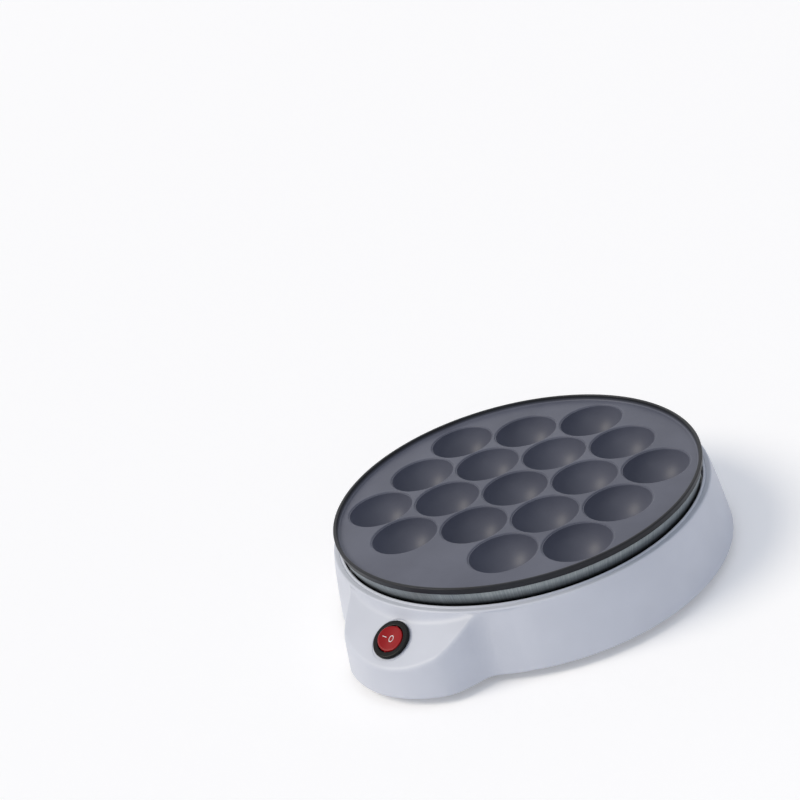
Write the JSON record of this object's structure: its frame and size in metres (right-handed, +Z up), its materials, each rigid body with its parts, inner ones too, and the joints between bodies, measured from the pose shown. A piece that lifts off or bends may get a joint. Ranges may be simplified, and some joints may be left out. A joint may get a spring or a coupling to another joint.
{
  "type": "takoyaki maker",
  "caption": "Round electric takoyaki cooker: cast plate with round cups on a flared casing, with a rocker switch in a sloped front tongue.",
  "frame": {"origin": "on the table, under the middle of the length and width", "axes": "+Z up, -Y towards the user and the switch, +X to the user's right"},
  "size_m": [0.2376, 0.2618, 0.055],
  "materials": {
    "plate_coating": "die cast, dark non-stick coating on top, bare on the skirt",
    "white_casing": "moulded, satin",
    "black_switch": "moulded, polished",
    "red_rocker": "translucent, polished",
    "foot_rubber": "moulded rubber",
    "gland_rubber": "pale moulded rubber",
    "sheath_steel": "heat-darkened sheath",
    "sheet_steel": "galvanised sheet",
    "screw_steel": "zinc plated",
    "contact_brass": "stamped",
    "ceramic": "ceramic, unglazed",
    "lamp_glass": "clear glass",
    "lead_sleeve": "heat-proof lead insulation"
  },
  "bodies": {
    "base": {"bottom_cover": "white_casing", "clamp_screw_1": "screw_steel", "clamp_screw_2": "screw_steel", "clamp_screw_3": "screw_steel", "cooking_plate": "plate_coating", "cord_gland": "gland_rubber", "cover_screw_1": "screw_steel", "cover_screw_2": "screw_steel", "cover_screw_3": "screw_steel", "cover_screw_4": "screw_steel", "cover_screw_5": "screw_steel", "cover_screw_6": "screw_steel", "element_clamp_1": "sheet_steel", "element_clamp_2": "sheet_steel", "element_clamp_3": "sheet_steel", "element_pin_1": "screw_steel", "element_pin_2": "screw_steel", "foot_1": "foot_rubber", "foot_2": "foot_rubber", "foot_3": "foot_rubber", "foot_4": "foot_rubber", "fuse_clip": "sheet_steel", "heat_shield": "sheet_steel", "heating_element": "sheath_steel", "lead_1": "lead_sleeve", "lead_2": "lead_sleeve", "lead_3": "lead_sleeve", "lead_4": "lead_sleeve", "lead_5": "lead_sleeve", "lead_6": "lead_sleeve", "plate_screw_1": "screw_steel", "plate_screw_2": "screw_steel", "plate_screw_3": "screw_steel", "shield_screw_1": "screw_steel", "shield_screw_2": "screw_steel", "shield_screw_3": "screw_steel", "shield_screw_4": "screw_steel", "strap_screw_1": "screw_steel", "strap_screw_2": "screw_steel", "switch_body": "black_switch", "switch_lamp": "lamp_glass", "switch_terminal_1": "contact_brass", "switch_terminal_2": "contact_brass", "switch_terminal_3": "contact_brass", "terminal_block": "ceramic", "terminal_block_screw": "screw_steel", "thermal_fuse": "ceramic", "thermostat": "ceramic", "thermostat_strap": "sheet_steel", "upper_casing": "white_casing"},
    "rocker": {"switch_rocker": "red_rocker", "switch_plunger": "contact_brass"},
    "contact_arm": {"switch_arm": "contact_brass"}
  },
  "joints": [
    {"name": "rocker_tilt", "type": "hinge", "parent": "base", "child": "rocker", "pos_m": [0, -0.11453, 0.0306], "axis": [0, -0.8796, -0.4756], "range_deg": [0, 20]},
    {"name": "contact_arm_tilt", "type": "hinge", "parent": "base", "child": "contact_arm", "pos_m": [0, -0.1102, 0.02259], "axis": [0, 0.8796, 0.4756], "range_deg": [0, 12]}
  ],
  "couplings": [
    {"joint": "contact_arm_tilt", "follows": "rocker_tilt", "ratio": 0.6}
  ]
}
